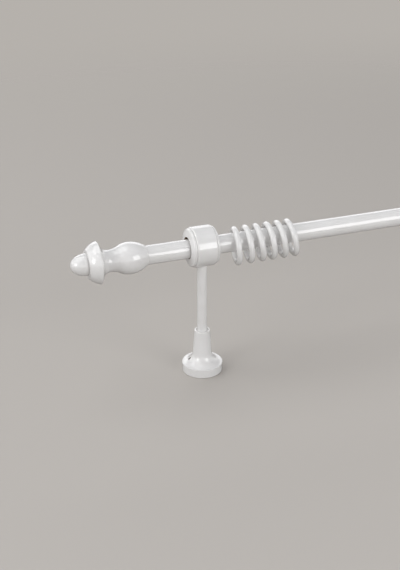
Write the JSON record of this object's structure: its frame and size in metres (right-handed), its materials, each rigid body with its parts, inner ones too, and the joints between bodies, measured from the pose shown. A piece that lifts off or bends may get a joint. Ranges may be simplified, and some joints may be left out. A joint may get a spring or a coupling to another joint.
{
  "type": "wooden curtain rod",
  "caption": "White lacquered wooden curtain rod with turned finials, carried in ring collars on long turned brackets, with loose wooden curtain rings that slide along it.",
  "frame": {"origin": "on the mounting plane, midway between the two brackets and under the pole's axis", "axes": "+X along the pole towards the finial that the picture cuts off, +Z from the mounting plane to the pole, -Y to the side that the picture is taken from"},
  "size_m": [1.2192, 0.062, 0.2354],
  "materials": {
    "pole_lacquer": "white gloss lacquer",
    "finial_lacquer": "white gloss lacquer",
    "bracket_lacquer": "white gloss lacquer",
    "ring_lacquer": "white gloss lacquer",
    "screw_steel": "zinc plated"
  },
  "bodies": {
    "rod_and_brackets": {"pole": "pole_lacquer", "finial_left": "finial_lacquer", "finial_screw_left": "screw_steel", "bracket_base_left": "bracket_lacquer", "bracket_stem_left": "bracket_lacquer", "bracket_collar_left": "bracket_lacquer", "finial_right": "finial_lacquer", "finial_screw_right": "screw_steel", "bracket_base_right": "bracket_lacquer", "bracket_stem_right": "bracket_lacquer", "bracket_collar_right": "bracket_lacquer"},
    "ring_1_body": {"ring_1": "ring_lacquer"},
    "ring_2_body": {"ring_2": "ring_lacquer"},
    "ring_3_body": {"ring_3": "ring_lacquer"},
    "ring_4_body": {"ring_4": "ring_lacquer"},
    "ring_5_body": {"ring_5": "ring_lacquer"},
    "ring_6_body": {"ring_6": "ring_lacquer"}
  },
  "joints": [
    {"name": "ring_1_slide", "type": "slide", "parent": "rod_and_brackets", "child": "ring_1_body", "axis": [1, 0, 0], "range_m": [-0.0236, 0.109]},
    {"name": "ring_2_slide", "type": "slide", "parent": "ring_1_body", "child": "ring_2_body", "axis": [1, 0, 0], "range_m": [-0.0086, 0.109]},
    {"name": "ring_3_slide", "type": "slide", "parent": "ring_2_body", "child": "ring_3_body", "axis": [1, 0, 0], "range_m": [-0.0078, 0.109]},
    {"name": "ring_4_slide", "type": "slide", "parent": "ring_3_body", "child": "ring_4_body", "axis": [1, 0, 0], "range_m": [-0.0069, 0.109]},
    {"name": "ring_5_slide", "type": "slide", "parent": "ring_4_body", "child": "ring_5_body", "axis": [1, 0, 0], "range_m": [-0.0079, 0.109]},
    {"name": "ring_6_slide", "type": "slide", "parent": "ring_5_body", "child": "ring_6_body", "axis": [1, 0, 0], "range_m": [-0.0077, 0.109]}
  ]
}
